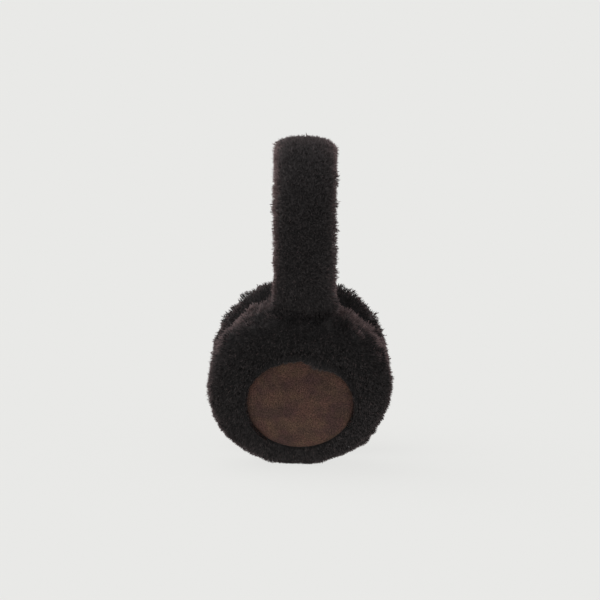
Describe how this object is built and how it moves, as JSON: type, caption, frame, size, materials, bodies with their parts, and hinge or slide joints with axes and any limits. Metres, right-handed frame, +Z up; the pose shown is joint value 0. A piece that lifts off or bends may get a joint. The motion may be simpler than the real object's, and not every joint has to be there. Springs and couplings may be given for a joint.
{
  "type": "fur earmuffs",
  "caption": "Sheepskin earmuffs: round furred ear cups with domed suede patches on an arched furred headband that fits over the head.",
  "frame": {"origin": "midway between the ear cups, on the surface that the earmuffs stand on", "axes": "+Z up towards the headband, X from ear cup to ear cup with the wearer's left cup on +X, Y from the wearer's face (-Y) to the back of the head"},
  "size_m": [0.156, 0.1122, 0.2004],
  "materials": {
    "fleece": "dense short curly sheepskin pile, near black with brown fibre tips, matte",
    "suede": "dark brown suede, soft nap, matte"
  },
  "bodies": {
    "root": {"headband": "fleece", "ear_cup_left": "fleece", "ear_cup_right": "fleece", "suede_patch_left": "suede", "suede_patch_right": "suede"}
  },
  "joints": []
}
